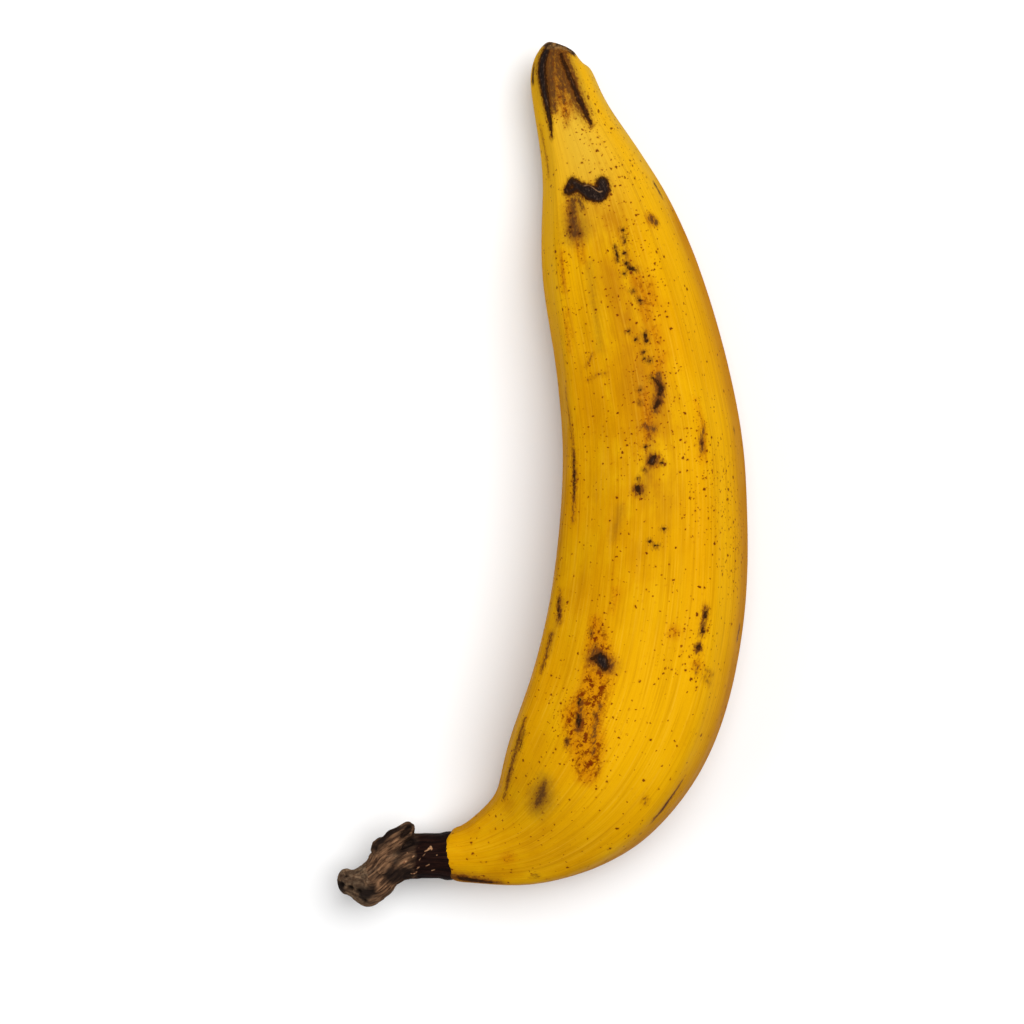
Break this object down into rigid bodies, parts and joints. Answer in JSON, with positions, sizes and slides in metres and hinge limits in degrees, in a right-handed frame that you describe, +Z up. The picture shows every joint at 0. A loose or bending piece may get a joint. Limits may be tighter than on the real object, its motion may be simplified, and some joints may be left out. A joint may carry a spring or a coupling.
{
  "type": "plantain",
  "caption": "Ripe plantain lying on its side: a curved, ridged yellow fruit with a dark blossom tip and a dried stalk that keeps a scrap of the crown.",
  "frame": {"origin": "under the middle of the whole plantain's box, on the surface that it lies on", "axes": "+Z up, +Y along the fruit from the stalk to the blossom tip, +X to the outer side of the bend; the stalk leaves towards -X"},
  "size_m": [0.1117, 0.2362, 0.0485],
  "materials": {
    "peel": "waxy yellow peel, half glossy, with brown and black ripening marks and a greener inner side",
    "dry_stalk": "dried and fibrous: near black by the fruit, grey brown on the torn crown, matt"
  },
  "bodies": {
    "root": {"fruit": "peel", "stalk": "dry_stalk"}
  },
  "joints": []
}
